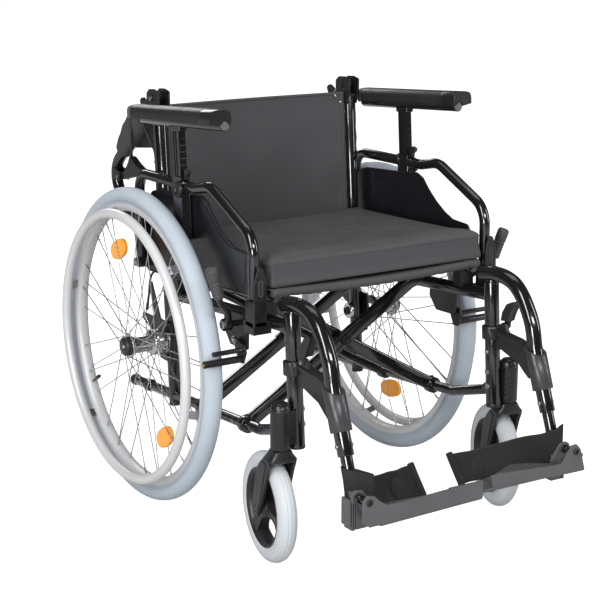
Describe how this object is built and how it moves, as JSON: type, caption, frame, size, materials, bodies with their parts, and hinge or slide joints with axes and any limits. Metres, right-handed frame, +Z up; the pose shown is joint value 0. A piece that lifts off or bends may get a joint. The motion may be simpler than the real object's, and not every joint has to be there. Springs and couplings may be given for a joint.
{
  "type": "folding wheelchair",
  "caption": "Lightweight folding self-propelled wheelchair with cross-brace frame, swing-away footrests, flip-back armrests and a fold-down back.",
  "frame": {"origin": "centre of the bounding box's bottom face, on the floor under the middle of the chair", "axes": "+Z up, the chair faces -Y, +X is the sitter's left"},
  "size_m": [0.667, 1.01, 0.79],
  "materials": {
    "frame_paint": "glossy black powder coat",
    "dark_metal": "satin black",
    "steel": "bright zinc-plated steel",
    "silver_rim": "polished silver",
    "tyre_grey": "pale blue-grey polyurethane",
    "caster_grey": "light grey polyurethane",
    "pad_foam": "dark grey moulded foam skin",
    "fabric": "dark grey woven nylon",
    "webbing": "black webbing",
    "grip_rubber": "brownish black rubber",
    "plastic": "dark grey satin plastic"
  },
  "bodies": {
    "right_frame": {"right_side_frame": "frame_paint", "right_armrest_receiver": "frame_paint", "right_caster_housing": "dark_metal", "right_axle_plate": "steel", "right_brake_bracket": "dark_metal", "right_brake_cable": "dark_metal", "back_sling": "fabric"},
    "cross_arm_a": {"cross_arm_a": "frame_paint"},
    "cross_arm_b": {"cross_arm_b": "frame_paint", "seat_sling": "fabric", "seat_cushion": "fabric"},
    "left_frame": {"left_side_frame": "frame_paint", "left_armrest_receiver": "frame_paint", "left_caster_housing": "dark_metal", "left_axle_plate": "steel", "left_brake_bracket": "dark_metal", "left_brake_cable": "dark_metal"},
    "right_caster_fork": {"right_caster_fork": "dark_metal"},
    "right_caster_roll": {"right_caster_wheel": "plastic", "right_caster_tyre": "caster_grey"},
    "right_wheel": {"right_rear_wheel": "silver_rim", "right_rear_tyre": "tyre_grey", "right_handrim": "silver_rim"},
    "right_armrest": {"right_armrest_frame": "frame_paint", "right_skirt_guard": "plastic"},
    "right_armrest_top": {"right_armrest_post": "frame_paint", "right_armrest_pad": "pad_foam"},
    "right_hanger": {"right_hanger": "frame_paint", "right_hanger_sleeve": "plastic"},
    "right_hanger_lock": {"right_hanger_lock_lever": "dark_metal"},
    "right_foot": {"right_foot_tube": "frame_paint", "right_heel_strap": "webbing"},
    "right_footplate": {"right_footplate": "plastic"},
    "right_brake_lever": {"right_brake_lever": "dark_metal"},
    "right_brake_shoe": {"right_brake_shoe": "dark_metal"},
    "right_upper_cane": {"right_upper_cane": "frame_paint", "right_push_grip": "grip_rubber", "back_flap": "fabric"},
    "right_attendant_lever": {"right_attendant_lever": "dark_metal"},
    "left_caster_fork": {"left_caster_fork": "dark_metal"},
    "left_caster_roll": {"left_caster_wheel": "plastic", "left_caster_tyre": "caster_grey"},
    "left_wheel": {"left_rear_wheel": "silver_rim", "left_rear_tyre": "tyre_grey", "left_handrim": "silver_rim"},
    "left_armrest": {"left_armrest_frame": "frame_paint", "left_skirt_guard": "plastic"},
    "left_armrest_top": {"left_armrest_post": "frame_paint", "left_armrest_pad": "pad_foam"},
    "left_hanger": {"left_hanger": "frame_paint", "left_hanger_sleeve": "plastic"},
    "left_hanger_lock": {"left_hanger_lock_lever": "dark_metal"},
    "left_foot": {"left_foot_tube": "frame_paint", "left_heel_strap": "webbing"},
    "left_footplate": {"left_footplate": "plastic"},
    "left_brake_lever": {"left_brake_lever": "dark_metal"},
    "left_brake_shoe": {"left_brake_shoe": "dark_metal"},
    "left_upper_cane": {"left_upper_cane": "frame_paint", "left_push_grip": "grip_rubber"},
    "left_attendant_lever": {"left_attendant_lever": "dark_metal"}
  },
  "joints": [
    {"name": "fold", "type": "hinge", "parent": "right_frame", "child": "cross_arm_a", "pos_m": [-0.2168, -0.08798, 0.21248], "axis": [0, -0.9973, 0.0732], "range_deg": [0, 47], "deforming": ["seat_sling", "seat_cushion", "back_sling", "back_flap", "right_heel_strap", "left_heel_strap"]},
    {"name": "cross_pivot", "type": "hinge", "parent": "cross_arm_a", "child": "cross_arm_b", "pos_m": [0, -0.06977, 0.33749], "axis": [0, -0.9973, 0.0732], "range_deg": [-94, 0]},
    {"name": "left_fold", "type": "hinge", "parent": "cross_arm_b", "child": "left_frame", "pos_m": [0.2168, -0.07003, 0.21117], "axis": [0, -0.9973, 0.0732], "range_deg": [0, 47]},
    {"name": "right_armrest_flip", "type": "hinge", "parent": "right_frame", "child": "right_armrest", "pos_m": [-0.252, 0.25097, 0.455], "axis": [1, 0, 0], "range_deg": [-90, 0]},
    {"name": "right_pad_height", "type": "slide", "parent": "right_armrest", "child": "right_armrest_top", "axis": [0, 0.0732, 0.9973], "range_m": [-0.04, 0.05]},
    {"name": "right_hanger_swing", "type": "hinge", "parent": "right_frame", "child": "right_hanger", "pos_m": [-0.2168, -0.24567, 0.4246], "axis": [0, -0.0732, -0.9973], "range_deg": [0, 90]},
    {"name": "right_hanger_lock_turn", "type": "hinge", "parent": "right_hanger", "child": "right_hanger_lock", "pos_m": [-0.2228, -0.28503, 0.38], "axis": [1, 0, 0], "range_deg": [-12, 0]},
    {"name": "right_foot_length", "type": "slide", "parent": "right_hanger", "child": "right_foot", "axis": [0, -0.3502, -0.9367], "range_m": [0, 0.05]},
    {"name": "right_footplate_flip", "type": "hinge", "parent": "right_foot", "child": "right_footplate", "pos_m": [-0.222, -0.45903, 0.193], "axis": [0, -1, 0], "range_deg": [0, 83]},
    {"name": "right_wheel_spin", "type": "hinge", "parent": "right_frame", "child": "right_wheel", "pos_m": [-0.286, 0.20097, 0.30406], "axis": [1, 0, 0], "continuous": true},
    {"name": "right_caster_swivel", "type": "hinge", "parent": "right_frame", "child": "right_caster_fork", "pos_m": [-0.2505, -0.26053, 0.21], "axis": [0, 0, 1], "continuous": true},
    {"name": "right_caster_roll_turn", "type": "hinge", "parent": "right_caster_fork", "child": "right_caster_roll", "pos_m": [-0.24254, -0.20914, 0.09914], "axis": [0.9882, -0.153, 0], "continuous": true},
    {"name": "right_brake_lever_turn", "type": "hinge", "parent": "right_frame", "child": "right_brake_lever", "pos_m": [-0.2575, -0.08903, 0.406], "axis": [1, 0, 0], "range_deg": [0, 50]},
    {"name": "right_brake_shoe_turn", "type": "hinge", "parent": "right_frame", "child": "right_brake_shoe", "pos_m": [-0.2406, -0.09503, 0.375], "axis": [1, 0, 0], "range_deg": [0, 9]},
    {"name": "right_cane_fold", "type": "hinge", "parent": "right_frame", "child": "right_upper_cane", "pos_m": [-0.2168, 0.24097, 0.772], "axis": [1, 0, 0], "range_deg": [0, 125], "deforming": ["right_brake_cable", "left_brake_cable"]},
    {"name": "right_attendant_lever_turn", "type": "hinge", "parent": "right_upper_cane", "child": "right_attendant_lever", "pos_m": [-0.2168, 0.40097, 0.599], "axis": [1, 0, 0], "range_deg": [0, 20], "stiffness_Nm_per_rad": 0.5, "springref_deg": -5.73},
    {"name": "left_armrest_flip", "type": "hinge", "parent": "left_frame", "child": "left_armrest", "pos_m": [0.252, 0.25097, 0.455], "axis": [1, 0, 0], "range_deg": [-90, 0]},
    {"name": "left_pad_height", "type": "slide", "parent": "left_armrest", "child": "left_armrest_top", "axis": [0, 0.0732, 0.9973], "range_m": [-0.04, 0.05]},
    {"name": "left_hanger_swing", "type": "hinge", "parent": "left_frame", "child": "left_hanger", "pos_m": [0.2168, -0.24567, 0.4246], "axis": [0, 0.0732, 0.9973], "range_deg": [0, 90]},
    {"name": "left_hanger_lock_turn", "type": "hinge", "parent": "left_hanger", "child": "left_hanger_lock", "pos_m": [0.2228, -0.28503, 0.38], "axis": [1, 0, 0], "range_deg": [-12, 0]},
    {"name": "left_foot_length", "type": "slide", "parent": "left_hanger", "child": "left_foot", "axis": [0, -0.3502, -0.9367], "range_m": [-0.03, 0]},
    {"name": "left_footplate_flip", "type": "hinge", "parent": "left_foot", "child": "left_footplate", "pos_m": [0.222, -0.45903, 0.193], "axis": [0, 1, 0], "range_deg": [0, 99]},
    {"name": "left_wheel_spin", "type": "hinge", "parent": "left_frame", "child": "left_wheel", "pos_m": [0.286, 0.20097, 0.30406], "axis": [1, 0, 0], "continuous": true},
    {"name": "left_caster_swivel", "type": "hinge", "parent": "left_frame", "child": "left_caster_fork", "pos_m": [0.2505, -0.26053, 0.21], "axis": [0, 0, 1], "continuous": true},
    {"name": "left_caster_roll_turn", "type": "hinge", "parent": "left_caster_fork", "child": "left_caster_roll", "pos_m": [0.26588, -0.21086, 0.09914], "axis": [0.9553, -0.2957, 0], "continuous": true},
    {"name": "left_brake_lever_turn", "type": "hinge", "parent": "left_frame", "child": "left_brake_lever", "pos_m": [0.2575, -0.08903, 0.406], "axis": [1, 0, 0], "range_deg": [0, 50]},
    {"name": "left_brake_shoe_turn", "type": "hinge", "parent": "left_frame", "child": "left_brake_shoe", "pos_m": [0.2406, -0.09503, 0.375], "axis": [1, 0, 0], "range_deg": [0, 9]},
    {"name": "left_cane_fold", "type": "hinge", "parent": "left_frame", "child": "left_upper_cane", "pos_m": [0.2168, 0.24097, 0.772], "axis": [1, 0, 0], "range_deg": [0, 125]},
    {"name": "left_attendant_lever_turn", "type": "hinge", "parent": "left_upper_cane", "child": "left_attendant_lever", "pos_m": [0.2168, 0.40097, 0.599], "axis": [1, 0, 0], "range_deg": [0, 20], "stiffness_Nm_per_rad": 0.5, "springref_deg": -5.73}
  ],
  "couplings": [
    {"joint": "cross_pivot", "follows": "fold", "ratio": -2},
    {"joint": "left_fold", "follows": "fold", "ratio": 1},
    {"joint": "right_footplate_flip", "follows": "fold", "ratio": 1.75},
    {"joint": "right_brake_shoe_turn", "follows": "right_brake_lever_turn", "ratio": 0.16},
    {"joint": "left_footplate_flip", "follows": "fold", "ratio": 2.1},
    {"joint": "left_brake_shoe_turn", "follows": "left_brake_lever_turn", "ratio": 0.16},
    {"joint": "left_cane_fold", "follows": "right_cane_fold", "ratio": 1}
  ]
}
